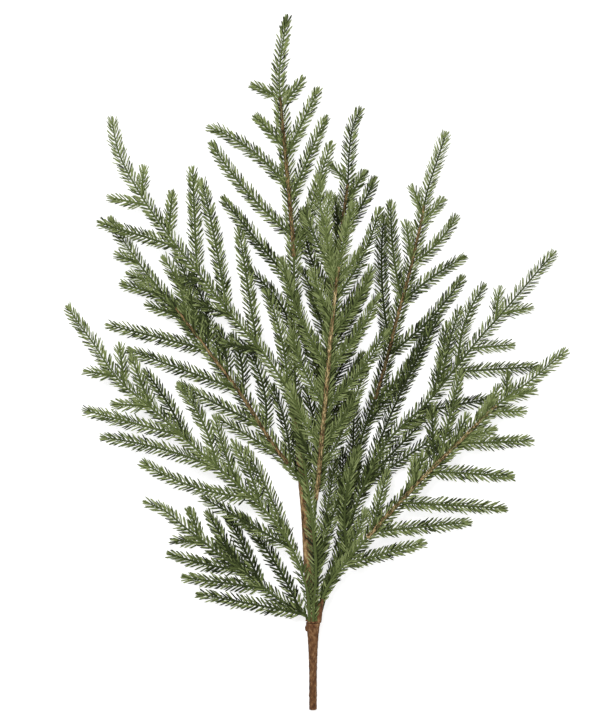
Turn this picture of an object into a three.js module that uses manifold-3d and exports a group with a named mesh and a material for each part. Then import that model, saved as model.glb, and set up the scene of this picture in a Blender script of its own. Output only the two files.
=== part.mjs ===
// A decorative fir branch lying on a table: a taped stem, a trunk and ten flat needle sprays.
// Millimetres, +Z up. X runs to the right, Y from the cut end of the stem to the tip of the leader.
import * as THREE from 'three';
import { mergeVertices } from 'three/addons/utils/BufferGeometryUtils.js';
import Module from 'manifold-3d';

const wasm = await Module();
wasm.setup();

// What would reach below the table is pressed flat on it
const TABLE_HEIGHT = 1.2;
const TABLE_SIZE = 2000;

// Driving dimensions of the stem and its collar
const FORK_HEIGHT = 27;
const STEM_LENGTH = 104;
const STEM_SIDES = 12;
const COLLAR_RADIUS = 8.2;
const STEM_PROFILE = [
  [104, 4.2], [103, 4.5], [90, 4.4], [87, 4.9], [84, 4.5], [57, 4.5], [54, 4.9], [51, 4.7],
  [32, 5.4], [16, 6.4], [7, 7.4], [1, COLLAR_RADIUS], [0, COLLAR_RADIUS - 0.4],
];
const COLLAR_KNOB_RADIUS = 2.6;
const COLLAR_KNOB_PLACE = [-7, -7, 0];

// Driving dimensions of the trunk, and of the wires that are bound round its foot
const GAP = 0.3;
const TRUNK_ROUTE = [[-4.5, 60, 27], [-7.5, 117, 25], [-10.5, 152, 23], [-20, 255, 20]];
const TRUNK_PROFILE = [[0, 5.0], [0.15, 6.0], [0.6, 5.8], [1, 4.4]];
const TRUNK_SIDES = 10;
const WIRE_RADIUS = 1.4;
const WIRE_SIDES = 6;
const WIRE_STEP = 24;
const SOCKET_RADIUS = 6.7;

// Reach of the needles: each row is a place along the twig, from 0 to 1, and half the width there
const RIB_PROFILE = [[0, 3], [0.1, 8], [0.3, 8.5], [0.5, 8.5], [0.7, 8], [0.85, 7.5], [0.95, 6], [1, 2.5]];
const TWIG_PROFILE = [[0, 4], [0.25, 8], [0.85, 6], [1, 2.5]];
const SHORT_TWIG_PROFILE = [[0, 4], [0.5, 7], [1, 2.5]];
const SHORT_TWIG = 68;
const NEEDLE_FLATNESS = 0.68;
const NEEDLE_SIDES = 6;
const RIB_SAMPLES = 240;

// The sprays, in millimetres from the fork, with Z as the height above the table.
// socket: the wire's place round the collar in degrees, from +X towards +Z.
// bare: how far the wire runs before its needles start.
// droop: how far a twig's tip falls, as a share of the twig's reach.
// rib: points that the rib passes through.
// twigs: where each leaves the rib, where its tip is, and how far it bows towards the rib's tip.
const SPRAYS = {
  leader: {
    bare: 0,
    droop: 0.02,
    rib: [
      [-20, 255.3, 20], [-22, 335, 21], [-22, 415, 21], [-26, 475, 20], [-31, 530, 18],
      [-37, 595, 14], [-39, 625, 12], [-37, 650, 10], [-30, 698, 7],
    ],
    twigs: [
      [-39, 603, -71, 619, 0], [-32, 546, -67, 583, 0], [-28, 497, -121, 570, 9],
      [-24, 445, -118, 552, -6], [-22, 388, -105, 488, 0], [-22, 336, -76, 407, 6],
      [-36, 592, -10, 626, 0], [-30, 536, 7, 614, 0], [-27, 485, 15, 582, 0],
      [-22, 414, 21, 552, 0],
    ],
  },
  front_spray: {
    socket: 55,
    bare: 150,
    droop: 0.07,
    rib: [
      [5, 25, 33], [5, 65, 36], [2, 112, 38], [3, 142, 43], [6, 164, 56], [8, 190, 65],
      [14, 255, 70], [21, 336, 69], [29, 407, 64], [37, 445, 59], [48, 482, 52],
    ],
    twigs: [
      [26, 402, 8, 513, -7], [22, 342, -3, 405, 0], [17, 290, -36, 419, -7],
      [12, 250, -26, 336, -5], [8, 204, -28, 275, -4], [7, 178, -17, 226, -3],
      [26, 388, 57, 428, 0], [24, 370, 76, 476, -7], [22, 330, 68, 408, -5],
      [18, 292, 75, 376, -5], [14, 250, 83, 336, -7], [9, 204, 61, 296, -7],
      [7, 176, 45, 255, -5],
    ],
  },
  back_spray: {
    socket: -80,
    bare: 230,
    droop: 0,
    rib: [
      [1, 100, 13], [5, 150, 9], [14, 220, 7], [20, 370, 6], [31, 439, 6], [40, 505, 6],
      [41, 531, 6], [45, 566, 6], [55, 592, 6],
    ],
    twigs: [
      [39, 505, 20, 528, 0], [33, 439, 25, 490, 0], [20, 375, -12, 476, -8],
      [41, 480, 61, 520, 0], [34, 445, 72, 512, -3],
    ],
  },
  right_upper_spray: {
    socket: -45,
    bare: 215,
    droop: 0,
    rib: [
      [14, 37, 22], [31, 83, 14], [43, 140, 8], [54, 204, 6], [77, 273, 6], [98, 353, 6],
      [112, 405, 6], [124, 457, 6], [132, 497, 6], [143, 531, 7], [154, 564, 9],
    ],
    twigs: [
      [125, 470, 114, 503, 0], [114, 414, 107, 462, 0], [102, 370, 90, 485, -4],
      [89, 319, 82, 468, -6], [125, 457, 151, 488, 0], [113, 411, 166, 468, -5],
      [102, 365, 176, 420, 4], [86, 307, 174, 398, -6], [66, 250, 137, 345, -8],
    ],
  },
  right_spray: {
    socket: -10,
    bare: 150,
    droop: 0.04,
    rib: [
      [20, 48, 25], [37, 89, 22], [52, 140, 20], [83, 204, 21], [129, 250, 22], [167, 296, 22],
      [192, 327, 21], [221, 359, 18], [255, 399, 13], [279, 426, 9],
    ],
    twigs: [
      [217, 355, 253, 362, 0], [183, 313, 232, 319, 0], [170, 285, 261, 289, 0],
      [210, 347, 215, 386, 0], [171, 292, 198, 388, -5], [147, 272, 170, 362, -3],
      [137, 262, 154, 345, 2],
    ],
  },
  right_lower_spray: {
    socket: 25,
    bare: 62,
    droop: 0.1,
    rib: [
      [10, 25, 35], [25, 54, 38], [66, 102, 40], [123, 163, 40], [169, 209, 39], [214, 252, 36],
      [250, 278, 31], [292, 313, 23],
    ],
    twigs: [
      [221, 258, 256, 267, 0], [204, 242, 244, 242, 0], [173, 209, 210, 222, 0],
      [167, 204, 252, 209, 0], [135, 173, 230, 168, 0], [100, 138, 222, 131, 0],
      [69, 104, 181, 115, 0], [35, 66, 129, 92, 0], [221, 259, 223, 288, 0],
      [186, 226, 206, 259, 0], [146, 186, 170, 290, 0], [106, 146, 132, 198, 0],
      [66, 102, 86, 175, 0], [40, 74, 50, 190, -9],
    ],
  },
  left_upper_spray: {
    socket: 90,
    bare: 170,
    droop: 0.05,
    rib: [
      [1, 22, 37], [3, 48, 42], [3, 75, 45], [0, 106, 46], [-3.5, 140, 47], [-9, 175, 48],
      [-16, 221, 50], [-26, 260, 51], [-55, 307, 53], [-94, 353, 54], [-130, 399, 53],
      [-164, 442, 50], [-199, 493, 43], [-222, 537, 35], [-232, 580, 26],
    ],
    twigs: [
      [-190, 477, -235, 488, 0], [-155, 431, -246, 459, 0], [-124, 391, -153, 394, 0],
      [-93, 350, -136, 368, 0], [-59, 310, -105, 322, 0], [-198, 489, -194, 524, 0],
      [-163, 445, -161, 495, 0], [-133, 403, -138, 522, 0], [-97, 359, -128, 508, -2],
      [-63, 319, -85, 453, 0], [-30, 265, -55, 382, -6],
    ],
  },
  left_spray: {
    bare: 45,
    droop: 0.06,
    rib: [
      [-10, 140, 32], [-14, 161, 33], [-49, 209, 35], [-82, 261, 36], [-121, 313, 36],
      [-155, 357, 34], [-199, 411, 28], [-235, 465, 20],
    ],
    twigs: [
      [-199, 412, -228, 424, 0], [-182, 388, -214, 401, 0], [-170, 372, -221, 389, 0],
      [-151, 351, -193, 365, 0], [-121, 313, -237, 342, 0], [-86, 268, -213, 313, 0],
      [-59, 228, -155, 273, 0], [-38, 192, -110, 235, 0], [-145, 345, -173, 420, -7],
      [-120, 314, -141, 399, -8], [-98, 283, -112, 342, -4], [-81, 261, -94, 332, -6],
      [-52, 218, -77, 319, -9], [-27, 178, -49, 273, -6],
    ],
  },
  left_middle_spray: {
    socket: 130,
    bare: 75,
    droop: 0.07,
    rib: [
      [-5, 24, 37], [-9, 45, 42], [-26, 89, 48], [-55, 129, 51], [-105, 175, 54], [-144, 209, 54],
      [-182, 244, 52], [-222, 278, 47], [-251, 319, 39], [-283, 363, 28],
    ],
    twigs: [
      [-224, 284, -262, 289, 0], [-187, 248, -231, 251, 0], [-151, 214, -263, 244, 0],
      [-105, 177, -243, 213, 5], [-72, 143, -197, 185, -9], [-26, 84, -127, 144, 0],
      [-214, 273, -222, 320, 0], [-184, 250, -209, 307, 0], [-141, 213, -193, 290, -3],
      [-109, 181, -155, 275, -7], [-84, 158, -113, 238, 3], [-59, 135, -93, 209, -4],
      [-30, 93, -78, 200, -3],
    ],
  },
  left_lower_spray: {
    socket: 190,
    bare: 30,
    droop: 0,
    rib: [
      [-7, 7, 26], [-17, 14, 20], [-38, 25, 12], [-72, 51, 6], [-107, 77, 6], [-147, 108, 6],
      [-170, 127, 6], [-194, 138, 8],
    ],
    twigs: [
      [-124, 91, -163, 94, 0], [-84, 60, -167, 79, -3], [-55, 38, -151, 51, 0],
      [-11, 6, -133, 33, 0], [-130, 94, -143, 131, 0], [-84, 62, -122, 127, 0],
      [-58, 42, -98, 123, 0], [-14, 12, -85, 124, -5],
    ],
  },
};

// Slope of the stem, which runs from the fork down to the table at its cut end
const stemSlope = Math.asin((FORK_HEIGHT - STEM_PROFILE[0][1]) / STEM_LENGTH);

const UP = new THREE.Vector3(0, 0, 1);
const vector = ([x, y, z]) => new THREE.Vector3(x, y, z);
const smoothCurve = (points) => new THREE.CatmullRomCurve3(points, false, 'catmullrom', 0.5);

function toSolid(geometry) {
  const bare = geometry.clone();
  bare.deleteAttribute('normal');
  bare.deleteAttribute('uv');
  const merged = mergeVertices(bare, 1e-4);
  return new wasm.Manifold(new wasm.Mesh({
    numProp: 3,
    vertProperties: new Float32Array(merged.attributes.position.array),
    triVerts: new Uint32Array(merged.index.array),
  }));
}

function toGeometry(solid) {
  const mesh = solid.getMesh();
  const geometry = new THREE.BufferGeometry();
  geometry.setAttribute('position', new THREE.BufferAttribute(new Float32Array(mesh.vertProperties), 3));
  geometry.setIndex(new THREE.BufferAttribute(new Uint32Array(mesh.triVerts), 1));
  geometry.computeVertexNormals();
  return geometry;
}

// A closed limb along a curve: a cylinder whose rings are carried to the places in the profile.
function limb(curve, profile, sides, flatness) {
  const rings = profile.length - 1;
  const geometry = new THREE.CylinderGeometry(1, 1, 1, sides, rings, false, Math.PI / sides);
  const place = geometry.attributes.position;
  for (let i = 0; i < place.count; i += 1) {
    const ring = Math.round((place.getY(i) + 0.5) * rings);
    const [along, radius] = profile[ring];
    const forward = curve.getTangentAt(along);
    const side = forward.clone().cross(UP).normalize();
    const top = side.clone().cross(forward);
    const point = curve.getPointAt(along)
      .addScaledVector(side, place.getX(i) * radius)
      .addScaledVector(top, place.getZ(i) * radius * flatness);
    place.setXYZ(i, point.x, point.y, point.z);
  }
  return toSolid(geometry);
}

// A point on the collar's sloping top face, at a given angle round it.
function socketPoint(degrees) {
  const angle = THREE.MathUtils.degToRad(degrees);
  const height = SOCKET_RADIUS * Math.sin(angle);
  const y = GAP + WIRE_RADIUS / 2 - height * Math.tan(stemSlope);
  return [SOCKET_RADIUS * Math.cos(angle), y, FORK_HEIGHT + height];
}

// The stretch of a curve from one length along it to another, as a curve of its own.
function stretch(curve, from, to, steps) {
  const whole = curve.getLength();
  const points = [];
  for (let i = 0; i <= steps; i += 1) {
    const along = (from + ((to - from) * i) / steps) / whole;
    points.push(curve.getPointAt(Math.min(along, 1)));
  }
  return smoothCurve(points);
}

// The place along the rib that is nearest to a point seen from above.
function nearestOnRib(rib, x, y) {
  let best = 0;
  let bestDistance = Infinity;
  for (let i = 0; i <= RIB_SAMPLES; i += 1) {
    const point = rib.getPointAt(i / RIB_SAMPLES);
    const distance = Math.hypot(point.x - x, point.y - y);
    if (distance < bestDistance) {
      best = i / RIB_SAMPLES;
      bestDistance = distance;
    }
  }
  return best;
}

function twigCurve(rib, droop, [baseX, baseY, tipX, tipY, bow]) {
  const along = nearestOnRib(rib, baseX, baseY);
  const base = rib.getPointAt(along);
  const fall = droop * Math.hypot(tipX - base.x, tipY - base.y);
  const tip = new THREE.Vector3(tipX, tipY, base.z - fall);
  const chord = tip.clone().sub(base).normalize();
  const across = chord.clone().cross(UP).normalize();
  const forward = Math.sign(across.dot(rib.getTangentAt(along)));
  const middle = base.clone().lerp(tip, 0.5).addScaledVector(across, 2 * bow * forward);
  return new THREE.QuadraticBezierCurve3(base, middle, tip);
}

function spraySolid({ socket, bare, droop, rib, twigs }) {
  const route = socket === undefined ? rib : [socketPoint(socket), ...rib];
  const curve = smoothCurve(route.map(vector));
  const length = curve.getLength();
  const needled = stretch(curve, bare, length, RIB_PROFILE.length + 4);
  let solid = limb(needled, RIB_PROFILE, NEEDLE_SIDES, NEEDLE_FLATNESS);
  if (bare > 0) {
    const steps = Math.ceil(bare / WIRE_STEP);
    const wireProfile = Array.from({ length: steps + 1 }, (_, i) => [i / steps, WIRE_RADIUS]);
    const wire = stretch(curve, 0, bare + WIRE_STEP, steps + 2);
    solid = solid.add(limb(wire, wireProfile, WIRE_SIDES, 1));
  }
  for (const row of twigs) {
    const twig = twigCurve(curve, droop, row);
    const profile = twig.getLength() < SHORT_TWIG ? SHORT_TWIG_PROFILE : TWIG_PROFILE;
    solid = solid.add(limb(twig, profile, NEEDLE_SIDES, NEEDLE_FLATNESS));
  }
  return solid;
}

function trunkSolid() {
  const foot = [0, GAP + TRUNK_PROFILE[0][1] * Math.sin(stemSlope), FORK_HEIGHT];
  return limb(smoothCurve([foot, ...TRUNK_ROUTE].map(vector)), TRUNK_PROFILE, TRUNK_SIDES, 1);
}

function stemSolid() {
  const outline = STEM_PROFILE.map(([fromCollar, radius]) => new THREE.Vector2(radius, -fromCollar));
  const axis = [new THREE.Vector2(0, -STEM_LENGTH), ...outline, new THREE.Vector2(0, 0)];
  const knob = new THREE.SphereGeometry(COLLAR_KNOB_RADIUS, 8, 6);
  knob.translate(...COLLAR_KNOB_PLACE);
  const solid = toSolid(new THREE.LatheGeometry(axis, STEM_SIDES)).add(toSolid(knob));
  const place = new THREE.Matrix4().makeRotationX(stemSlope);
  place.setPosition(0, 0, FORK_HEIGHT);
  const geometry = toGeometry(solid);
  geometry.applyMatrix4(place);
  return toSolid(geometry);
}

const TAPE = { color: 0x7d5032, roughness: 0.9, metalness: 0 };
const NEEDLES = { color: 0x55683a, roughness: 0.6, metalness: 0 };

const branch = new THREE.Group();

const tableBlock = new THREE.BoxGeometry(TABLE_SIZE, TABLE_SIZE, TABLE_SIZE);
tableBlock.translate(0, 0, TABLE_HEIGHT - TABLE_SIZE / 2);
const table = toSolid(tableBlock);

function addPiece(name, solid, finish) {
  const rested = solid.subtract(table);
  const piece = new THREE.Mesh(toGeometry(rested), new THREE.MeshStandardMaterial(finish));
  piece.name = name;
  branch.add(piece);
}

addPiece('stem', stemSolid(), TAPE);
addPiece('trunk', trunkSolid(), TAPE);
for (const [name, spray] of Object.entries(SPRAYS)) {
  addPiece(name, spraySolid(spray), NEEDLES);
}

// The origin is the middle of the branch, on the table
const box = new THREE.Box3().setFromObject(branch);
const middle = box.getCenter(new THREE.Vector3());
branch.position.set(-middle.x, -middle.y, -TABLE_HEIGHT);

export default branch;
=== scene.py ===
# A decorative fir branch lying on a table: a taped stem and trunk, wound ribs and sprays of needles
import math

import bpy
import numpy as np
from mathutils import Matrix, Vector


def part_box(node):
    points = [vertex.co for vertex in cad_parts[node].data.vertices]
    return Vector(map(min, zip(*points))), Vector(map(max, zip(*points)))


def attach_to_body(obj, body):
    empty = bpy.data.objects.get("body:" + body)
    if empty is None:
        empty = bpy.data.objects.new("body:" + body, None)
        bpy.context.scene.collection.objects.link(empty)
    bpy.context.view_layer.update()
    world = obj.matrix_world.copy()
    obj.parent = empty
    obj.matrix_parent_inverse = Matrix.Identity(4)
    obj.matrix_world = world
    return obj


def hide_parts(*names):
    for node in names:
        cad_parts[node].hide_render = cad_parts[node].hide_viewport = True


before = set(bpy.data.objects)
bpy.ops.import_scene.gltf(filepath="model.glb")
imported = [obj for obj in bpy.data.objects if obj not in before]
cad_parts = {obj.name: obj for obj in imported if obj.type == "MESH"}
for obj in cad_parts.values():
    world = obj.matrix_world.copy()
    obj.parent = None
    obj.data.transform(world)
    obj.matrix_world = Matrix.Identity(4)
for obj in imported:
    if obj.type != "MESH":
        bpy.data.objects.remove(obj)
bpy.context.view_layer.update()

MM = 0.001

# Stem, collar and trunk, in millimetres. A profile's rows are a place along a limb and the radius there.
FORK_HEIGHT = 27
TABLE_HEIGHT = 1.2
STEM_LENGTH = 104
COLLAR_RADIUS = 8.2
COLLAR_TOP_RADIUS = 7.8
STEM_PROFILE = (
    (0, 7.7), (0.6, 8.2), (3, 8.1), (7, 7.4), (16, 6.4), (32, 5.4), (51, 4.7), (54, 4.9),
    (57, 4.5), (84, 4.5), (87, 4.9), (90, 4.4), (103.4, 4.5), (104, 4.2),
)
STEM_END_RADIUS = 4.2
STEM_POINTS = 60
STEM_RINGS = 150
STEM_SIDES = 40
KNOB_RADIUS = 2.6
KNOB_ACROSS = -7
KNOB_ALONG = -7
KNOB_STRETCH = (0.9, 1.5, 1.0)
KNOB_SEGMENTS = 20
KNOB_RINGS = 12
TRUNK_ROUTE = ((0, 1.4, 27), (-4.5, 60, 27), (-7.5, 117, 25), (-10.5, 152, 23), (-20, 255, 20))
TRUNK_PROFILE = ((0, 5.0), (0.03, 5.6), (0.15, 6.0), (0.6, 5.8), (0.98, 4.5), (1, 3.8))
TRUNK_RINGS = 260
TRUNK_SIDES = 32
SOCKET_RADIUS = 6.7
SOCKET_GAP = 1.0

# Paper tape wound in a spiral: its pitch, how far a turn stands out, and the share of a turn in which
# its edge falls away
TAPE_PITCH = 9.0
TAPE_STEP = 0.28
RIB_TAPE_PITCH = 5.0
RIB_TAPE_STEP = 0.16
TAPE_EDGE = 0.12

# The ribs' wound stretches, and the wires' feet at the collar
BROWN_RIB_RADII = ((0, 2.1), (0.6, 1.9), (1, 1.4))
DARK_RIBS = ("back_spray", "right_upper_spray", "left_spray", "leader")
WIRE_RADII = ((0, 2.0), (0.6, 2.0), (1, 1.2))
WIRE_LENGTH = 2
WOUND_STEP = 4
LEAST_WOUND_POINTS = 8
WOUND_RING_STEP = 1.6
LEAST_WOUND_RINGS = 10
WOUND_SIDES = 12

# One needle, in millimetres. Its foot is a share of its width. Its rings are a place along it, a share
# of its width and a bend as a share of its length. Its tints are a place along it, and how much lighter
# or darker it is there: the dark foot is painted shade where the needle meets its stalk.
NEEDLE_LENGTH = 14.0
NEEDLE_WIDTH = 1.6
NEEDLE_THICKNESS = 0.9
NEEDLE_FOOT = 0.5
NEEDLE_RINGS = ((0.25, 1.0, 0.0), (0.82, 0.9, 0.09), (1.0, 0.1, 0.14))
NEEDLE_TINTS = ((0, -0.4), (0.25, 0.0), (0.82, 0.06), (1, 0.0))

# The green stalks that carry the needles: where they start, how far they run into a brown winding, and
# how far past the last row of needles
STALK_RADII = ((0, 1.6), (0.6, 1.4), (1, 0.8))
STALK_SIDES = 6
STALK_RINGS = 12
STALK_STRETCH = 90
# Stalks are this much darker than their needles, as painted shade under the needles
STALK_PAINTED_SHADE = 0.2
STALK_START = 1
STALK_LAP = 4
STALK_PAST = 2
GREEN_RIB_RADIUS = 1.75

# How the needles sit along a line, in millimetres and degrees: their distance from its middle, their
# lean by the distance from its base and from its tip, their size near its tip, and their scatter
RIB_SEAT = 0.8
RIB_TIP_SEAT = 0.7
BROWN_RIB_SEAT = 1.6
TWIG_SEAT = 0.6
TRUNK_SEAT = 3.0
TWIG_BARE = 4
TIP_REACH = 8.0
BASE_LEAN = ((0, 58), (12, 54), (40, 50))
TIP_LEAN = ((TIP_REACH, 32), (20, 40), (55, 50))
TIP_SIZE = ((TIP_REACH, 0.92), (28, 1.0))
ROLL_SPREAD = 14
PLACE_WOBBLE = 0.45
TURN_WOBBLE = 8
LEAN_WOBBLE = 4.0
LENGTH_RANGE = (0.86, 1.06)
FULL_GROWN = (1, 1)
FOOT_YOUNG = (40, 0.7)
FLOOR_CLEARANCE = 0.3
TRUNK_NEEDLED = 162

# The tuft that closes a twig's tip
TUFT_NEEDLES = 10
TUFT_TURN = 137.5
TUFT_LEAN = (8, 32)
TUFT_LENGTHS = (0.66, 0.84)
TUFT_LIGHTER = 0.05

# How the greens differ: from needle to needle, from twig to twig, and over the last stretch of a twig
TINT_SPREAD = 0.3
TWIG_SPREAD = 0.03
TIP_LIFT = 0.16
TIP_FINER = 0.12
TIP_GROWTH = 45
# The trunk's needles are painted dark as shade under the sprays above them
TRUNK_NEEDLE_SHADE = 0.28
FIRST_SEED = 100

# Rows of needles round a stalk: turn from its right side upwards, share of the full lean, share of
# the full length, stagger as a share of the pitch, and how much lighter or darker the row is, as
# painted light and shade: the rows under the stalk are darker.
ALL_ROUND = (
    (0, 1.0, 1.0, 0.0, 0.0), (180, 1.0, 1.0, 0.5, 0.0),
    (-24, 0.97, 0.95, 0.06, -0.4), (204, 0.97, 0.95, 0.56, -0.4),
    (34, 0.98, 0.78, 0.3, 0.05), (146, 0.98, 0.78, 0.8, 0.05),
)
RIB_SIDES = (
    (-4, 1.0, 1.0, 0.0, 0.0), (184, 1.0, 1.0, 0.5, 0.0),
    (-28, 0.95, 0.95, 0.06, -0.4), (208, 0.95, 0.95, 0.56, -0.4),
    (26, 0.9, 0.8, 0.3, 0.06), (154, 0.9, 0.8, 0.8, 0.06),
    (58, 0.85, 0.4, 0.6, -0.3), (122, 0.85, 0.4, 0.1, -0.3), (90, 0.8, 0.32, 0.35, -0.1),
)
LOWER_ROWS = ALL_ROUND[:4]
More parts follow.
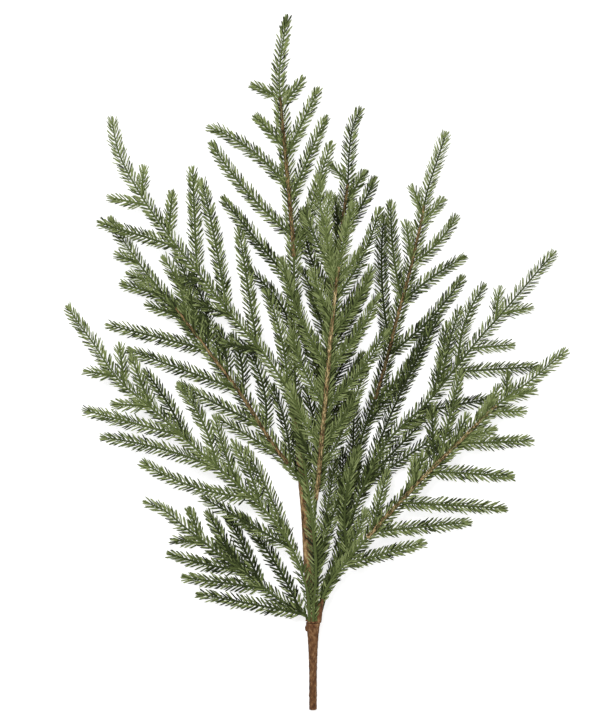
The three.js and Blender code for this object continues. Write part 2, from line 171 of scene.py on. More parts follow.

# The sprays, in millimetres from the fork, with Z as a height: the table is at TABLE_HEIGHT.
# socket: the wire's place round the collar in degrees, from +X towards +Z, or None where it starts
# at the trunk.
# bare: how far along the wire its tape shows, and sleeve: how thick that is, as a share of the usual.
# needled: how far along the wire the needles start.
# young: over what length from there the needles grow to their full size, and the size of the first.
# pitch: how far apart the needles are in a row.
# breadth: how wide the needles are, as a share of the full width.
# brown: how far along the rib its brown winding shows from, how far from its tip it stops and how
# thick it is, or None where needles cover the rib.
# shade: from 0, the darkest green, to 1, the lightest; the sprays lying deeper are darker, which is
# partly painted shade.
# new: how much lighter and how much finer the needles near the rib's tip are, and how far from the tip
# that reaches.
# thin: how far along the rib only the lower rows grow.
# foot: a stretch of the wire near the collar that carries young needles too.
# droop: how far a twig's tip falls, as a share of the twig's reach.
# rib: points that the rib passes through.
# twigs: where each leaves the rib, where its tip is, how far it bows towards the rib's tip, and,
# where it isn't the spray's own green, how much lighter or darker it is, which is partly painted
# shade: the twigs lying deeper are darker.
SPRAYS = {
    "leader": dict(
        socket=None, needled=4, pitch=5.4, breadth=1.0, young=(10, 0.9),
        brown=(165, 95, 1.2), shade=0.71, new=(0.03, 0.0, 170), droop=0.02,
        rib=(
            (-20, 255.3, 20), (-22, 335, 21), (-22, 415, 21), (-26, 475, 20), (-31, 530, 18),
            (-37, 595, 14), (-39, 625, 12), (-37, 650, 10), (-30, 698, 7),
        ),
        twigs=(
            (-39, 603, -71, 619, 0), (-32, 546, -67, 583, 0), (-28, 497, -121, 570, 9),
            (-24, 445, -118, 552, -6), (-22, 388, -105, 488, 0, -0.2), (-22, 336, -76, 407, 6, -0.3),
            (-36, 592, -10, 626, 0), (-30, 536, 7, 614, 0), (-27, 485, 15, 582, 0),
            (-22, 414, 21, 552, 0),
        ),
    ),
    "front_spray": dict(
        socket=55, foot=(52, 66), needled=152, pitch=3.9, breadth=0.82, young=(10, 0.9),
        brown=(142, 78, 1.4), shade=0.7, new=(0.28, 0.15, 170), droop=0.07,
        rib=(
            (5, 25, 33), (5, 65, 36), (2, 112, 38), (3, 142, 43), (6, 164, 56), (8, 190, 65),
            (14, 255, 70), (21, 336, 69), (29, 407, 64), (37, 445, 59), (48, 482, 52),
        ),
        twigs=(
            (26, 402, 8, 513, -7), (22, 342, -3, 405, 0), (17, 290, -36, 419, -7),
            (12, 250, -26, 336, -5), (8, 204, -28, 275, -4, 0.1), (7, 178, -17, 226, -3, -0.3),
            (26, 388, 57, 428, 0), (24, 370, 76, 476, -7, -0.2), (22, 330, 68, 408, -5),
            (18, 292, 75, 376, -5), (14, 250, 83, 336, -7), (9, 204, 61, 296, -7),
            (7, 176, 45, 255, -5), (5, 60, 54, 202, 4, -0.1), (24, 390, 20, 494, -8),
            (25, 398, -10, 476, -4, -0.2), (5, 62, 26, 190, 0, -0.1),
        ),
    ),
    "back_spray": dict(
        socket=-80, needled=150, pitch=4.8, breadth=0.95, young=(10, 0.9),
        brown=(380, 90, 1.1), shade=0.38, new=(0.42, 0.2, 190), droop=0,
        rib=(
            (1, 100, 13), (5, 150, 9), (14, 220, 7), (20, 370, 6), (31, 439, 6), (40, 505, 6),
            (41, 531, 6), (45, 566, 6), (55, 592, 6),
        ),
        twigs=(
            (39, 505, 20, 528, 0), (33, 439, 25, 490, 0), (20, 375, -12, 476, -8),
            (41, 480, 61, 520, 0), (34, 445, 72, 512, -3), (20, 340, -14, 408, 0),
            (12, 190, -8, 270, 0), (15, 240, 2, 330, 0), (16, 220, 58, 310, 0), (18, 260, 60, 350, 0),
            (20, 300, 62, 385, 0), (16, 260, -15, 345, 0), (20, 330, 66, 400, 0), (12, 200, 44, 262, 0),
            (18, 322, -4, 380, 0),
        ),
    ),
    "right_upper_spray": dict(
        socket=-45, needled=20, pitch=4.8, breadth=0.9, young=(60, 0.6),
        brown=(265, 88, 1.0), shade=0.45, new=(0.6, 0.25, 290), droop=0,
        rib=(
            (14, 37, 22), (31, 83, 14), (43, 140, 8), (54, 204, 6), (77, 273, 6), (98, 353, 6),
            (112, 405, 6), (124, 457, 6), (132, 497, 6), (143, 531, 7), (154, 564, 9),
        ),
        twigs=(
            (125, 470, 114, 503, 0), (114, 414, 107, 462, 0), (102, 370, 90, 485, -4),
            (89, 319, 82, 468, -6), (125, 457, 151, 488, 0), (113, 411, 166, 468, -5),
            (102, 365, 176, 420, 4), (86, 307, 174, 398, -6), (66, 250, 137, 345, -8),
            (35, 105, 34, 200, 0), (60, 225, 110, 285, 0, -0.05), (45, 150, 48, 262, 0, -0.05),
        ),
    ),
    "right_spray": dict(
        socket=-10, needled=30, pitch=5.2, breadth=0.88, young=(60, 0.6),
        brown=None, shade=0.53, new=(0.4, 0.25, 260), droop=0.04,
        rib=(
            (20, 48, 25), (37, 89, 22), (52, 140, 20), (83, 204, 21), (129, 250, 22),
            (167, 296, 22), (192, 327, 21), (221, 359, 18), (255, 399, 13), (279, 426, 9),
        ),
        twigs=(
            (217, 355, 253, 362, 0), (183, 313, 232, 319, 0), (166, 282, 261, 294, 0),
            (210, 347, 215, 386, 0), (171, 292, 198, 388, -8), (147, 272, 170, 362, -3),
            (137, 262, 154, 345, 2), (60, 158, 156, 222, 0),
            (52, 140, 147, 352, 6, -0.15), (62, 165, 128, 232, 0, -0.1), (100, 222, 141, 242, 0, 0.1),
            (122, 240, 208, 258, 0, -0.15),
        ),
    ),
    "right_lower_spray": dict(
        socket=25, bare=28, sleeve=1.75,
        needled=24, thin=50, pitch=5.0, breadth=1.05, young=(24, 0.75),
        brown=(116, 105, 1.2), shade=0.69, new=(0.38, 0.25, 190), droop=0.1,
        rib=(
            (10, 25, 35), (25, 54, 38), (66, 102, 40), (123, 163, 40), (169, 209, 39),
            (214, 252, 36), (250, 278, 31), (292, 313, 23),
        ),
        twigs=(
            (221, 258, 256, 267, 0), (204, 242, 244, 242, 0), (173, 209, 210, 222, 0),
            (167, 204, 252, 209, 0), (135, 173, 230, 168, 0), (100, 138, 222, 131, 0),
            (69, 104, 181, 115, 0), (35, 66, 129, 92, 0), (221, 259, 223, 288, 0, -0.25),
            (186, 226, 206, 259, 0), (146, 186, 170, 290, 0), (106, 146, 132, 198, 0),
            (66, 102, 86, 175, 0), (40, 74, 50, 190, -9, -0.1),
            (36, 70, 62, 130, 0), (140, 180, 136, 250, 0, -0.2), (118, 156, 117, 192, 0),
            (196, 236, 214, 272, 0), (158, 198, 178, 240, 0, -0.15),
        ),
    ),
    "left_upper_spray": dict(
        socket=90, needled=4, thin=105, pitch=5.0, breadth=0.95, young=(60, 0.8),
        brown=None, shade=0.67, new=(0.28, 0.25, 170), droop=0.05,
        rib=(
            (1, 22, 37), (3, 48, 42), (3, 75, 45), (0, 106, 46), (-3.5, 140, 47), (-9, 175, 48),
            (-16, 221, 50), (-26, 260, 51), (-55, 307, 53), (-94, 353, 54), (-130, 399, 53),
            (-164, 442, 50), (-199, 493, 43), (-222, 537, 35), (-232, 580, 26),
        ),
        twigs=(
            (-190, 477, -235, 488, 0), (-155, 431, -246, 459, 0), (-124, 391, -153, 394, 0, -0.25),
            (-93, 350, -136, 368, 0, -0.25), (-59, 310, -105, 322, 0, -0.25), (-198, 489, -194, 524, 0),
            (-163, 445, -161, 495, 0), (-133, 403, -138, 522, 0), (-97, 359, -128, 508, -2),
            (-63, 319, -85, 453, 0), (-30, 265, -55, 382, -6),
        ),
    ),
    "left_spray": dict(
        socket=None, needled=22, pitch=5.2, breadth=0.95, young=(30, 0.7),
        brown=(48, 130, 1.1), shade=0.61, new=(0.2, 0.2, 170), droop=0.06,
        rib=(
            (-10, 140, 32), (-14, 161, 33), (-49, 209, 35), (-82, 261, 36), (-121, 313, 36),
            (-155, 357, 34), (-199, 411, 28), (-235, 465, 20),
        ),
        twigs=(
            (-199, 412, -228, 424, 0), (-182, 388, -214, 401, 0), (-170, 372, -221, 389, 0),
            (-151, 351, -193, 365, 0), (-121, 313, -237, 342, 0), (-86, 268, -213, 313, 0),
            (-59, 228, -155, 273, 0), (-38, 192, -110, 235, 0), (-145, 345, -173, 420, -7, 0.12),
            (-120, 314, -141, 399, -8, -0.25), (-98, 283, -112, 342, -4, -0.25),
            (-81, 261, -94, 332, -6, -0.25), (-52, 218, -77, 319, -9, -0.1),
            (-27, 178, -49, 273, -6, -0.2), (-106, 293, -135, 352, -8, -0.3),
            (-130, 325, -165, 372, 0, -0.25), (-150, 352, -196, 392, 0, -0.2),
            (-125, 318, -160, 400, -6, -0.1), (-138, 335, -158, 425, -6),
        ),
    ),
    "left_middle_spray": dict(
        socket=130, needled=12, thin=60, pitch=5.2, breadth=0.95, young=(50, 0.75),
        brown=None, shade=0.69, new=(0.1, 0.08, 170), droop=0.07,
        rib=(
            (-5, 24, 37), (-9, 45, 42), (-26, 89, 48), (-55, 129, 51), (-105, 175, 54),
            (-144, 209, 54), (-182, 244, 52), (-222, 278, 47), (-251, 319, 39), (-283, 363, 28),
        ),
        twigs=(
            (-224, 284, -262, 289, 0), (-187, 248, -231, 251, 0), (-151, 214, -263, 244, 0),
            (-105, 177, -243, 213, 5), (-72, 143, -197, 185, -9), (-26, 84, -127, 144, 0, -0.15),
            (-214, 273, -222, 320, 0), (-184, 250, -209, 307, 0), (-141, 213, -193, 290, -3, -0.3),
            (-109, 181, -155, 275, -7), (-84, 158, -113, 238, 3), (-59, 135, -93, 209, -4),
            (-30, 93, -78, 200, -3),
        ),
    ),
    "left_lower_spray": dict(
        socket=190, needled=3, pitch=5.8, breadth=1.1, young=(30, 0.7),
        brown=None, shade=0.55, new=(0.4, 0.25, 110), droop=0,
        rib=(
            (-7, 7, 26), (-17, 14, 20), (-38, 25, 12), (-72, 51, 6), (-107, 77, 6),
            (-147, 108, 6), (-170, 127, 6), (-194, 138, 8),
        ),
        twigs=(
            (-124, 91, -163, 94, 0), (-84, 60, -167, 79, -3), (-55, 38, -151, 51, 0),
            (-11, 6, -133, 33, 0), (-130, 94, -143, 131, 0), (-84, 62, -122, 127, 0, -0.16),
            (-58, 42, -98, 123, 0, -0.2), (-14, 12, -85, 124, -5, -0.2), (-72, 51, -112, 98, 0, -0.2),
        ),
    ),
}

# The camera looks straight down, at the photograph's scale
IMAGE_SIZE = (603, 719)
FORK_PIXEL = (313, 622)
MM_PER_PIXEL = 1.15
CAMERA_DISTANCE = 6000
CAMERA_FOCUS_HEIGHT = 20
CAMERA_REACH = 50
SENSOR = 36.0

# The floor and the soft lights: name, place and size in metres, and power in watts
FLOOR_SIZE = 8
FLOOR_GREY = (0.45, 0.45, 0.45, 1)
FLOOR_ROUGHNESS = 0.9
FLOOR_GLOW = 0.76
WHITE = (1, 1, 1, 1)
WORLD_STRENGTH = 0.2
SOFT_LIGHTS = (
    ("key_light", (-0.5, 0.7, 2.6), 1.0, 70),
    ("fill_light", (0.9, -0.5, 2.4), 1.4, 20),
)

# Finishes: each noise is its scale, detail and roughness
SPECKLE = (420, 4, 0.7)
BLOTCH = (150, 3, 0.5)
BLOTCH_SHARE = 0.35
CREASE_STRETCH = (1.0, 0.4, 1.0)
CREASE_DEPTH = 0.0006
STEM_CREASES = 0.5
RIB_CREASES = 0.4
TAPE_ROUGHNESS = 0.88
TAPE_SHINE = 0.25
MOTTLE = (60, 2, 0.5)
MOTTLE_SHARE = 0.15
NEEDLE_ROUGHNESS = 0.6
NEEDLE_SHINE = 0.16
NEEDLE_GREENS = (
    (0.0, (0.006, 0.008, 0.002)),
    (0.35, (0.028, 0.040, 0.009)),
    (0.65, (0.102, 0.132, 0.038)),
    (1.0, (0.25, 0.295, 0.118)),
)

# Seams closer than this, in metres, are joined, and edges flatter than these angles look smooth
SEAM_GAP = 1e-6
TAPE_SMOOTH_ANGLE = math.radians(50)
NEEDLE_SMOOTH_ANGLE = math.radians(40)

# Where the fork is in the frame, from the stem's box
stem_slope = math.asin((FORK_HEIGHT - STEM_END_RADIUS) / STEM_LENGTH)
_, stem_high = (np.array(corner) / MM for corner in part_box("stem"))
fork = np.array((
    stem_high[0] - COLLAR_RADIUS,
    stem_high[1] - COLLAR_TOP_RADIUS * math.sin(stem_slope),
    -TABLE_HEIGHT,
))


# Lines in space
class Line:
    """A smooth line, read by its length in millimetres."""

    def __init__(self, points):
        self.points = np.array(points, dtype=float)
        steps = np.linalg.norm(np.diff(self.points, axis=0), axis=1)
        self.lengths = np.concatenate(([0.0], np.cumsum(steps)))
        self.length = self.lengths[-1]
        self.tangents = np.gradient(self.points, self.lengths, axis=0)

    def read(self, values, at):
        return np.stack([np.interp(at, self.lengths, values[:, i]) for i in range(3)], axis=1)

    def at(self, lengths):
        """Points on the line, with its forward, side and top directions there."""
        lengths = np.asarray(lengths, dtype=float)
        forward = unit(self.read(self.tangents, lengths))
        side = unit(np.cross(forward, (0, 0, 1)))
        return self.read(self.points, lengths), forward, side, np.cross(side, forward)


def unit(vectors):
    return vectors / np.linalg.norm(vectors, axis=-1, keepdims=True)


def smooth_line(points, steps=24):
    """A line that passes through the points."""
    points = np.array(points, dtype=float)
    first = 2 * points[0] - points[1]
    last = 2 * points[-1] - points[-2]
    padded = np.vstack((first, points, last))
    share = np.linspace(0, 1, steps, endpoint=False)[:, None]
    rows = []
    for before, start, end, after in zip(padded, padded[1:], padded[2:], padded[3:]):
        leave = 0.5 * (end - before)
        arrive = 0.5 * (after - start)
        rows.append(
            (2 * share**3 - 3 * share**2 + 1) * start + (share**3 - 2 * share**2 + share) * leave
            + (3 * share**2 - 2 * share**3) * end + (share**3 - share**2) * arrive
        )
    return Line(np.vstack(rows + [points[-1:]]))


def socket_point(degrees):
    """Where a wire comes out of the collar's sloping top."""
    height = SOCKET_RADIUS * math.sin(math.radians(degrees))
    across = SOCKET_RADIUS * math.cos(math.radians(degrees))
    return (across, SOCKET_GAP - height * math.tan(stem_slope), FORK_HEIGHT + height)


def rib_line(spray):
    points = spray["rib"]
    if spray["socket"] is not None:
        points = (socket_point(spray["socket"]),) + points
    return smooth_line(points)


def twig_line(rib, droop, row, steps=24):
    """A bowed twig from the nearest place on the rib, and how far that is from the rib's tip."""
    base_x, base_y, tip_x, tip_y, bow = row[:5]
    gap = np.hypot(rib.points[:, 0] - base_x, rib.points[:, 1] - base_y)
    nearest = int(np.argmin(gap))
    base = rib.points[nearest]
    fall = droop * math.hypot(tip_x - base[0], tip_y - base[1])
    tip = np.array((tip_x, tip_y, base[2] - fall))
    across = unit(np.cross(tip - base, (0, 0, 1)))
    onward = np.sign(across @ rib.tangents[nearest])
    middle = (base + tip) / 2 + across * 2 * bow * onward
    share = np.linspace(0, 1, steps)[:, None]
    line = Line((1 - share)**2 * base + 2 * share * (1 - share) * middle + share**2 * tip)
    return line, rib.length - rib.lengths[nearest]


# Modelling helpers
def start_clean():
    if bpy.context.mode != "OBJECT":
        bpy.ops.object.mode_set(mode="OBJECT")
    bpy.ops.object.select_all(action="DESELECT")


def vertices_of(piece):
    flat = np.empty(len(piece.data.vertices) * 3)
    piece.data.vertices.foreach_get("co", flat)
    return flat.reshape(-1, 3)


def set_vertices(piece, points):
    piece.data.vertices.foreach_set("co", points.ravel())
    piece.data.update()


def roll_sheet(name, line, radius_at, rings, sides, material):
    """A closed limb: a flat sheet is rolled round a line, its seam is joined and its ends are filled."""
    start_clean()
    bpy.ops.mesh.primitive_grid_add(x_subdivisions=sides, y_subdivisions=rings, size=1)
    limb = bpy.context.object
    limb.name = limb.data.name = name
    flat = vertices_of(limb)
    along = flat[:, 1] + 0.5
    turn = (flat[:, 0] + 0.5) * 2 * math.pi
    middle, _, side, top = line.at(along * line.length)
    radius = radius_at(along * line.length, turn)[:, None]
    outward = side * np.cos(turn)[:, None] + top * np.sin(turn)[:, None]
    points = middle + outward * radius
    points[:, 2] = np.maximum(points[:, 2], TABLE_HEIGHT)
    set_vertices(limb, (points + fork) * MM)
    bpy.ops.object.mode_set(mode="EDIT")
    bpy.ops.mesh.select_all(action="SELECT")
    bpy.ops.mesh.remove_doubles(threshold=SEAM_GAP)
    bpy.ops.mesh.fill_holes(sides=0)
    bpy.ops.mesh.normals_make_consistent(inside=False)
    bpy.ops.object.mode_set(mode="OBJECT")
    bpy.ops.object.shade_smooth_by_angle(angle=TAPE_SMOOTH_ANGLE)
    limb.data.materials.append(material)
    return limb


def read_profile(profile, at):
    places, values = zip(*profile)
    return np.interp(at, places, values)


def tape_relief(lengths, turn, pitch, step):
    """How far paper tape wound in a spiral stands out: each turn laps over the one before."""
    lap = (lengths / pitch + turn / (2 * math.pi)) % 1.0
    edge = np.clip((1.0 - lap) / TAPE_EDGE, 0, 1)
    return step * lap * edge


def join_into(piece, other):
    start_clean()
    piece.select_set(True)
    other.select_set(True)
    bpy.context.view_layer.objects.active = piece
    bpy.ops.object.join()


def attach(piece, slot, *nodes):
    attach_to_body(piece, "root")
    if nodes:
        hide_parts(*nodes)


# Materials
def new_material(name):
    material = bpy.data.materials.new(name)
    material.use_nodes = True
    nodes = material.node_tree.nodes
    return material, nodes, material.node_tree.links, nodes["Principled BSDF"]


def ramp_node(nodes, stops):
    ramp = nodes.new("ShaderNodeValToRGB")
    elements = ramp.color_ramp.elements
    while len(elements) < len(stops):
        elements.new(0.5)
    for element, (place, colour) in zip(elements, stops):
        element.position = place
        element.color = (*colour, 1.0)
    return ramp


def noise_node(nodes, scale, detail, roughness):
    noise = nodes.new("ShaderNodeTexNoise")
    noise.inputs["Scale"].default_value = scale
    noise.inputs["Detail"].default_value = detail
    noise.inputs["Roughness"].default_value = roughness
    return noise


def blend_node(nodes, links, share, first, second):
    blend = nodes.new("ShaderNodeMix")
    blend.data_type = "FLOAT"
    blend.inputs["Factor"].default_value = share
    links.new(first.outputs["Fac"], blend.inputs["A"])
    links.new(second.outputs["Fac"], blend.inputs["B"])
    return blend


def paper_tape(name, stops, bump_strength):
    """Dry crepe paper: blotched and speckled, with fine creases along the limb."""
    material, nodes, links, shader = new_material(name)
    place = nodes.new("ShaderNodeTexCoord")
    stretch = nodes.new("ShaderNodeMapping")
    stretch.inputs["Scale"].default_value = CREASE_STRETCH
    links.new(place.outputs["Object"], stretch.inputs["Vector"])
    speckle = noise_node(nodes, *SPECKLE)
    links.new(stretch.outputs["Vector"], speckle.inputs["Vector"])
    blotch = noise_node(nodes, *BLOTCH)
    links.new(stretch.outputs["Vector"], blotch.inputs["Vector"])
    blend = blend_node(nodes, links, BLOTCH_SHARE, speckle, blotch)
    ramp = ramp_node(nodes, stops)
    links.new(blend.outputs["Result"], ramp.inputs["Fac"])
    links.new(ramp.outputs["Color"], shader.inputs["Base Color"])
    bump = nodes.new("ShaderNodeBump")
    bump.inputs["Strength"].default_value = bump_strength
    bump.inputs["Distance"].default_value = CREASE_DEPTH
    links.new(speckle.outputs["Fac"], bump.inputs["Height"])
    links.new(bump.outputs["Normal"], shader.inputs["Normal"])
    shader.inputs["Roughness"].default_value = TAPE_ROUGHNESS
    shader.inputs["Specular IOR Level"].default_value = TAPE_SHINE
    return material


def moulded_green():
    """Soft moulded needles: each has its own green, lighter towards its tip, and painted shade darkens
    their feet, their lower rows and the deeper sprays.
    """
    material, nodes, links, shader = new_material("moulded_green")
    tint = nodes.new("ShaderNodeAttribute")
    tint.attribute_name = "tint"
    place = nodes.new("ShaderNodeTexCoord")
    mottle = noise_node(nodes, *MOTTLE)
    links.new(place.outputs["Object"], mottle.inputs["Vector"])
    blend = blend_node(nodes, links, MOTTLE_SHARE, tint, mottle)
    ramp = ramp_node(nodes, NEEDLE_GREENS)
    links.new(blend.outputs["Result"], ramp.inputs["Fac"])
    links.new(ramp.outputs["Color"], shader.inputs["Base Color"])
    shader.inputs["Roughness"].default_value = NEEDLE_ROUGHNESS
    shader.inputs["Specular IOR Level"].default_value = NEEDLE_SHINE
    return material


stem_tape = paper_tape("stem_tape", (
    (0.36, (0.035, 0.0145, 0.0055)),
    (0.46, (0.104, 0.044, 0.0165)),
    (0.54, (0.165, 0.077, 0.030)),
    (0.64, (0.32, 0.195, 0.095)),
), STEM_CREASES)
trunk_tape = paper_tape("trunk_tape", (
    (0.38, (0.035, 0.018, 0.008)),
    (0.46, (0.165, 0.092, 0.038)),
    (0.54, (0.30, 0.19, 0.082)),
    (0.64, (0.46, 0.34, 0.165)),
), STEM_CREASES)
tan_winding = paper_tape("tan_winding", (
    (0.41, (0.050, 0.020, 0.009)),
    (0.48, (0.22, 0.14, 0.062)),
    (0.54, (0.41, 0.30, 0.145)),
    (0.62, (0.56, 0.44, 0.24)),
), RIB_CREASES)
brown_winding = paper_tape("brown_winding", (
    (0.40, (0.035, 0.018, 0.008)),
    (0.47, (0.135, 0.078, 0.034)),
    (0.54, (0.25, 0.155, 0.07)),
    (0.62, (0.38, 0.25, 0.125)),
), RIB_CREASES)
needle_green = moulded_green()


# The stem, from its collar down to its cut end
stem_direction = np.array((0, -math.cos(stem_slope), -math.sin(stem_slope)))
stem_top = np.array((0, 0, FORK_HEIGHT))
stem_places = np.linspace(0, STEM_LENGTH, STEM_POINTS)
stem_line = Line([stem_top + stem_direction * place for place in stem_places])


def stem_radius(lengths, turn):
    radius = read_profile(STEM_PROFILE, lengths)
    return radius + tape_relief(lengths, turn, TAPE_PITCH, TAPE_STEP) - TAPE_STEP / 2


def model_stem():
    stem = roll_sheet("taped_stem", stem_line, stem_radius, STEM_RINGS, STEM_SIDES, stem_tape)
    start_clean()
    bpy.ops.mesh.primitive_uv_sphere_add(
        segments=KNOB_SEGMENTS, ring_count=KNOB_RINGS, radius=KNOB_RADIUS * MM)
    knob = bpy.context.object
    knob_y = KNOB_ALONG * math.cos(stem_slope)
    knob_z = FORK_HEIGHT + KNOB_ALONG * math.sin(stem_slope)
    knob_place = np.array((KNOB_ACROSS, knob_y, knob_z)) + fork
    bpy.ops.transform.resize(value=KNOB_STRETCH, center_override=(0, 0, 0))
    bpy.ops.transform.translate(value=tuple(knob_place * MM))
    bpy.ops.object.transform_apply(location=True, rotation=True, scale=True)
    bpy.ops.object.shade_smooth()
    knob.data.materials.append(stem_tape)
    join_into(stem, knob)
    attach(stem, "tape", "stem")


model_stem()


# The trunk, from the collar up to the leader
trunk_line = smooth_line(TRUNK_ROUTE)


def trunk_radius(lengths, turn):
    radius = read_profile(TRUNK_PROFILE, lengths / trunk_line.length)
    return radius + tape_relief(lengths, turn, TAPE_PITCH, TAPE_STEP) - TAPE_STEP / 2


def model_trunk():
    trunk = roll_sheet("taped_trunk", trunk_line, trunk_radius, TRUNK_RINGS, TRUNK_SIDES, trunk_tape)
    attach(trunk, "tape", "trunk")


model_trunk()


# One needle and one stalk, modelled once and copied along every twig
def faces_of(piece):
    return [tuple(face.vertices) for face in piece.data.polygons]


def take_apart(piece):
    """The corners and faces of a modelled piece, which is then removed."""
    corners = vertices_of(piece) / MM
    faces = faces_of(piece)
    bpy.data.objects.remove(piece)
    return corners, faces


def model_needle():
    """A flat pointed needle along +Z, its width along X and its tip curved towards +X."""
    start_clean()
    bpy.ops.mesh.primitive_circle_add(vertices=4, radius=0.5 * NEEDLE_WIDTH * MM, fill_type="NGON")
    needle = bpy.context.object
    bpy.ops.object.mode_set(mode="EDIT")
    bpy.ops.mesh.select_all(action="SELECT")
    flatness = NEEDLE_THICKNESS / NEEDLE_WIDTH
    bpy.ops.transform.resize(
        value=(NEEDLE_FOOT, NEEDLE_FOOT * flatness, 1), center_override=(0, 0, 0))
    height, width, shift = 0.0, NEEDLE_FOOT, 0.0
    for ring_height, ring_width, ring_shift in NEEDLE_RINGS:
        aside = (ring_shift - shift) * NEEDLE_LENGTH * MM
        onward = (ring_height - height) * NEEDLE_LENGTH * MM
        step = (aside, 0, onward)
        bpy.ops.mesh.extrude_region_move(TRANSFORM_OT_translate={"value": step})
        grow = ring_width / width
        centre = (ring_shift * NEEDLE_LENGTH * MM, 0, ring_height * NEEDLE_LENGTH * MM)
        bpy.ops.transform.resize(value=(grow, grow, 1), center_override=centre)
        height, width, shift = ring_height, ring_width, ring_shift
    bpy.ops.mesh.merge(type="CENTER")
    bpy.ops.mesh.select_all(action="SELECT")
    bpy.ops.mesh.normals_make_consistent(inside=False)
    bpy.ops.object.mode_set(mode="OBJECT")
    return take_apart(needle)


def model_stalk():
    """A round stalk of unit length and radius along +Z, in even rings."""
    start_clean()
    bpy.ops.mesh.primitive_circle_add(vertices=STALK_SIDES, radius=MM, fill_type="NGON")
    stalk = bpy.context.object
    bpy.ops.object.mode_set(mode="EDIT")
    bpy.ops.mesh.select_all(action="SELECT")
    for _ in range(STALK_RINGS):
        bpy.ops.mesh.extrude_region_move(TRANSFORM_OT_translate={"value": (0, 0, MM / STALK_RINGS)})
    bpy.ops.mesh.select_all(action="SELECT")
    bpy.ops.mesh.normals_make_consistent(inside=False)
    bpy.ops.object.mode_set(mode="OBJECT")
    return take_apart(stalk)


needle_corners, needle_faces = model_needle()
stalk_corners, stalk_faces = model_stalk()


class Foliage:
    """The corners, faces and tints of all the needles and stalks of one spray."""

    def __init__(self):
        self.corners, self.faces, self.tints, self.count = [], [], [], 0

    def add(self, corners, faces, tints):
        for copy in corners:
            self.faces += [tuple(corner + self.count for corner in face) for face in faces]
            self.count += len(copy)
        self.corners.append(corners.reshape(-1, 3))
        self.tints.append(tints.ravel())

    def add_stalk(self, line, start, stop, thickness, tint):
        stretches = math.ceil((stop - start) / STALK_STRETCH)
        ends = np.linspace(start, stop, stretches + 1)
        for low, high in zip(ends, ends[1:]):
            lengths = low + stalk_corners[:, 2] * (high - low)
            middle, _, side, top = line.at(lengths)
            radius = read_profile(STALK_RADII, lengths / line.length) * thickness
            outward = side * stalk_corners[:, :1] + top * stalk_corners[:, 1:2]
            corners = middle + outward * radius[:, None]
            self.add(corners[None], stalk_faces, np.full(len(corners), tint))

    def add_needles(self, base, forward, outward, lean, lengths, breadth, tints):
        lean = np.radians(lean)[:, None]
        direction = forward * np.cos(lean) + outward * np.sin(lean)
        lowest = (FLOOR_CLEARANCE + TABLE_HEIGHT - base[:, 2]) / lengths
        direction[:, 2] = np.maximum(direction[:, 2], lowest)
        direction = unit(direction)
        width = unit(forward - direction * np.sum(forward * direction, axis=1, keepdims=True))
        thickness = np.cross(direction, width)
        stretch = (lengths / NEEDLE_LENGTH)[:, None, None]
        corners = (
            base[:, None] + needle_corners[None, :, 0:1] * width[:, None] * breadth[:, None, None]
            + needle_corners[None, :, 1:2] * thickness[:, None] * breadth[:, None, None]
            + needle_corners[None, :, 2:3] * direction[:, None] * stretch
        )
        corners[:, :, 2] = np.maximum(corners[:, :, 2], FLOOR_CLEARANCE + TABLE_HEIGHT)
        onward = needle_corners[:, 2] / NEEDLE_LENGTH
        self.add(corners, needle_faces, tints[:, None] + read_profile(NEEDLE_TINTS, onward)[None])

    def piece(self, name):
        mesh = bpy.data.meshes.new(name)
        corners = (np.vstack(self.corners) + fork) * MM
        mesh.from_pydata(corners.tolist(), [], self.faces)
        tint = mesh.attributes.new("tint", "FLOAT", "POINT")
        tint.data.foreach_set("value", np.clip(np.concatenate(self.tints), 0, 1))
        mesh.materials.append(needle_green)
        made = bpy.data.objects.new(name, mesh)
        bpy.context.scene.collection.objects.link(made)
        start_clean()
        made.select_set(True)
        bpy.context.view_layer.objects.active = made
        bpy.ops.object.shade_smooth_by_angle(angle=NEEDLE_SMOOTH_ANGLE)
        return made


def dress(foliage, line, start, stop, rows, pitch, seat, look, rng, young=FULL_GROWN):
    """Needles in rows along a line, between two lengths, as light and broad as their look says."""
    grown_after, first_size = young
    roll = rng.uniform(-ROLL_SPREAD, ROLL_SPREAD)
    for turn, lean_share, size_share, stagger, row_light_and_shade in rows:
        places = np.arange(start + stagger * pitch, stop, pitch)
        if not len(places):
            continue
        places = np.clip(places + rng.normal(0, PLACE_WOBBLE, len(places)), start, stop)
        middle, forward, side, top = line.at(places)
        angle = np.radians(turn + roll + rng.normal(0, TURN_WOBBLE, len(places)))[:, None]
        outward = side * np.cos(angle) + top * np.sin(angle)
        to_tip = line.length - places
        young_size = np.interp(places - start, (0, grown_after), (first_size, 1))
        size = np.minimum(read_profile(TIP_SIZE, to_tip), young_size)
        full_lean = np.minimum(read_profile(BASE_LEAN, places), read_profile(TIP_LEAN, to_tip))
        lean = full_lean * lean_share * np.sqrt(size) + rng.normal(0, LEAN_WOBBLE, len(places))
        lengths = NEEDLE_LENGTH * size_share * size * rng.uniform(*LENGTH_RANGE, len(places))
        shade, breadth = look(to_tip)
        # Each row's painted light and shade is added to its needles' green
        tints = shade + row_light_and_shade + rng.normal(0, TINT_SPREAD, len(places))
        foliage.add_needles(middle + outward * seat, forward, outward, lean, lengths, breadth, tints)


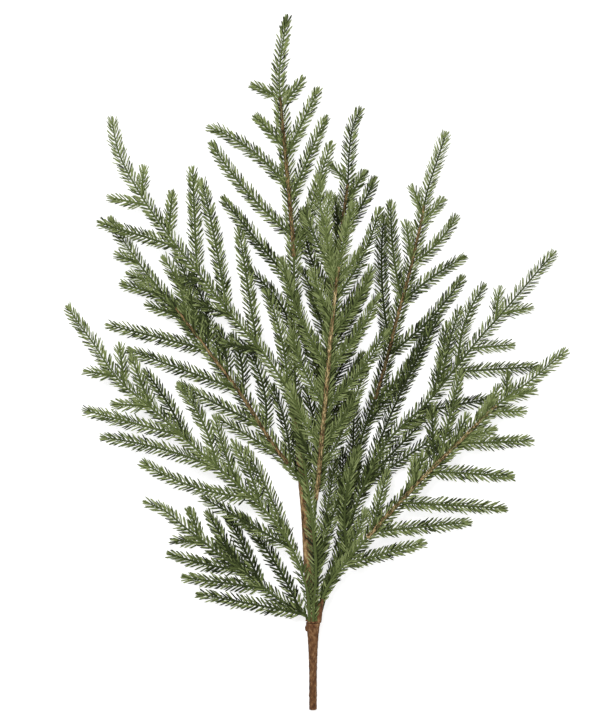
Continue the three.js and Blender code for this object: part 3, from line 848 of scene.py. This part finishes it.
def add_tuft(foliage, line, look, rng):
    """The needles that close round the tip of a twig."""
    end = np.full(TUFT_NEEDLES, line.length - TIP_REACH)
    middle, forward, side, top = line.at(end)
    angle = np.radians(np.arange(TUFT_NEEDLES) * TUFT_TURN + rng.uniform(0, 360))[:, None]
    outward = side * np.cos(angle) + top * np.sin(angle)
    lean = rng.uniform(*TUFT_LEAN, TUFT_NEEDLES)
    lengths = rng.uniform(*TUFT_LENGTHS, TUFT_NEEDLES) * NEEDLE_LENGTH
    shade, breadth = look(line.length - end)
    tints = shade + rng.normal(TUFT_LIGHTER, TINT_SPREAD, TUFT_NEEDLES)
    foliage.add_needles(middle, forward, outward, lean, lengths, breadth, tints)


# Looks: how light and how broad needles are, by how far they are from the tip
def rib_look(spray):
    lighter, finer, reach = spray["new"]

    def look(to_tip):
        share = np.clip(1 - to_tip / reach, 0, 1)
        return spray["shade"] + lighter * share, spray["breadth"] * (1 - finer * share)

    return look


def twig_look(shade, breadth):

    def look(to_tip):
        share = np.clip(1 - to_tip / TIP_GROWTH, 0, 1)
        return shade + TIP_LIFT * share, breadth * (1 - TIP_FINER * share)

    return look


def trunk_look(to_tip):
    return np.full_like(to_tip, TRUNK_NEEDLE_SHADE), np.ones_like(to_tip)


# The sprays: wound ribs, and the needles along ribs and twigs
def wound_limb(name, rib, start, stop, radii, thickness, material):
    """A stretch of the rib, wound in paper tape."""
    points = max(LEAST_WOUND_POINTS, int((stop - start) / WOUND_STEP))
    stretch = Line(rib.at(np.linspace(start, stop, points))[0])
    rings = max(LEAST_WOUND_RINGS, int(stretch.length / WOUND_RING_STEP))

    def radius_at(lengths, turn):
        radius = read_profile(radii, lengths / stretch.length) * thickness
        return radius + tape_relief(lengths, turn, RIB_TAPE_PITCH, RIB_TAPE_STEP)

    return roll_sheet(name, stretch, radius_at, rings, WOUND_SIDES, material)


def model_rib(name, spray, rib):
    """The wire's foot at the collar and, where it shows, the rib's brown winding."""
    bare = spray.get("bare", WIRE_LENGTH)
    sleeve = spray.get("sleeve", 1.0)
    made = wound_limb(name + "_rib", rib, 0, bare, WIRE_RADII, sleeve, stem_tape)
    if spray["brown"] is not None:
        start, short_of_tip, thickness = spray["brown"]
        stop = rib.length - short_of_tip
        tape = brown_winding if name in DARK_RIBS else tan_winding
        winding = wound_limb("winding", rib, start, stop, BROWN_RIB_RADII, thickness, tape)
        join_into(made, winding)
    attach(made, "rib")


def dress_rib(foliage, spray, rib, look, rng):
    """Needles all round a rib, but not over its top where it is thin or its brown winding shows."""
    needled, pitch, young = spray["needled"], spray["pitch"], spray["young"]
    end = rib.length - TIP_REACH
    # A rib's green stalk gets half the stalks' painted shade
    stalk_look = (GREEN_RIB_RADIUS / STALK_RADII[0][1], spray["shade"] - STALK_PAINTED_SHADE / 2)
    if "thin" in spray:
        dress(foliage, rib, needled, spray["thin"], LOWER_ROWS, pitch, RIB_SEAT, look, rng, young)
        needled = spray["thin"]
    if spray["brown"] is None:
        foliage.add_stalk(rib, STALK_START, end + STALK_PAST, *stalk_look)
        dress(foliage, rib, needled, end, ALL_ROUND, pitch, RIB_SEAT, look, rng, young)
    else:
        start, short_of_tip, thickness = spray["brown"]
        stop = rib.length - short_of_tip
        seat = BROWN_RIB_SEAT * thickness
        foliage.add_stalk(rib, STALK_START, start + STALK_LAP, *stalk_look)
        foliage.add_stalk(rib, stop - STALK_LAP, end + STALK_PAST, *stalk_look)
        dress(foliage, rib, needled, start, ALL_ROUND, pitch, RIB_SEAT, look, rng, young)
        dress(foliage, rib, max(start, needled), stop, RIB_SIDES, pitch, seat, look, rng)
        dress(foliage, rib, stop, end, ALL_ROUND, pitch, RIB_TIP_SEAT, look, rng)
    if "foot" in spray:
        dress(foliage, rib, *spray["foot"], ALL_ROUND, pitch, RIB_SEAT, look, rng, FOOT_YOUNG)


def dress_trunk(foliage, pitch, rng):
    """The needles at the top of the trunk, under the leader, painted dark as shade."""
    start, stop = TRUNK_NEEDLED, trunk_line.length
    dress(foliage, trunk_line, start, stop, ALL_ROUND, pitch, TRUNK_SEAT, trunk_look, rng)


def add_twig(foliage, spray, rib, row, look, rng):
    """A twig's stalk, its rows of needles and the tuft at its tip."""
    twig, base_to_tip = twig_line(rib, spray["droop"], row)
    shade, breadth = look(base_to_tip)
    # A twig's lighter or darker green is partly painted shade, darker where it lies deeper
    shade += sum(row[5:]) + rng.normal(0, TWIG_SPREAD)
    end = twig.length - TIP_REACH
    own_look = twig_look(shade, breadth)
    foliage.add_stalk(twig, 0, end + STALK_PAST, 1.0, shade - STALK_PAINTED_SHADE)
    dress(foliage, twig, TWIG_BARE, end, ALL_ROUND, spray["pitch"], TWIG_SEAT, own_look, rng)
    add_tuft(foliage, twig, own_look, rng)


def model_spray(number, name, spray):
    rng = np.random.default_rng(FIRST_SEED + number)
    rib = rib_line(spray)
    look = rib_look(spray)
    model_rib(name, spray, rib)
    foliage = Foliage()
    dress_rib(foliage, spray, rib, look, rng)
    if name == "leader":
        dress_trunk(foliage, spray["pitch"], rng)
    add_tuft(foliage, rib, look, rng)
    for row in spray["twigs"]:
        add_twig(foliage, spray, rib, row, look, rng)
    attach(foliage.piece(name + "_needles"), "needles", name)


for number, (name, spray) in enumerate(SPRAYS.items()):
    model_spray(number, name, spray)


# Floor, light and camera
def add_floor():
    start_clean()
    bpy.ops.mesh.primitive_plane_add(size=FLOOR_SIZE)
    floor = bpy.context.object
    floor.name = floor.data.name = "floor"
    material, _, _, shader = new_material("pale_floor")
    shader.inputs["Base Color"].default_value = FLOOR_GREY
    shader.inputs["Roughness"].default_value = FLOOR_ROUGHNESS
    shader.inputs["Emission Color"].default_value = WHITE
    shader.inputs["Emission Strength"].default_value = FLOOR_GLOW
    floor.data.materials.append(material)


def add_soft_light(name, place, size, power):
    light = bpy.data.lights.new(name, "AREA")
    light.shape = "SQUARE"
    light.size = size
    light.energy = power
    holder = bpy.data.objects.new(name, light)
    holder.location = place
    aim = -holder.location
    holder.rotation_euler = aim.to_track_quat("-Z", "Y").to_euler()
    bpy.context.scene.collection.objects.link(holder)


def add_camera():
    camera = bpy.data.cameras.new("photo_camera")
    holder = bpy.data.objects.new("photo_camera", camera)
    middle = (np.array(IMAGE_SIZE) / 2 - FORK_PIXEL) * (MM_PER_PIXEL, -MM_PER_PIXEL) + fork[:2]
    holder.location = (*(middle * MM), (CAMERA_DISTANCE + CAMERA_FOCUS_HEIGHT) * MM)
    camera.sensor_width = SENSOR
    camera.lens = SENSOR * CAMERA_DISTANCE / (max(IMAGE_SIZE) * MM_PER_PIXEL)
    camera.clip_end = CAMERA_REACH
    bpy.context.scene.collection.objects.link(holder)
    bpy.context.scene.camera = holder


def set_studio():
    world = bpy.data.worlds.new("studio")
    world.use_nodes = True
    background = world.node_tree.nodes["Background"]
    background.inputs["Color"].default_value = WHITE
    background.inputs["Strength"].default_value = WORLD_STRENGTH
    bpy.context.scene.world = world
    bpy.context.scene.view_settings.view_transform = "Standard"


add_floor()
for light in SOFT_LIGHTS:
    add_soft_light(*light)
add_camera()
set_studio()
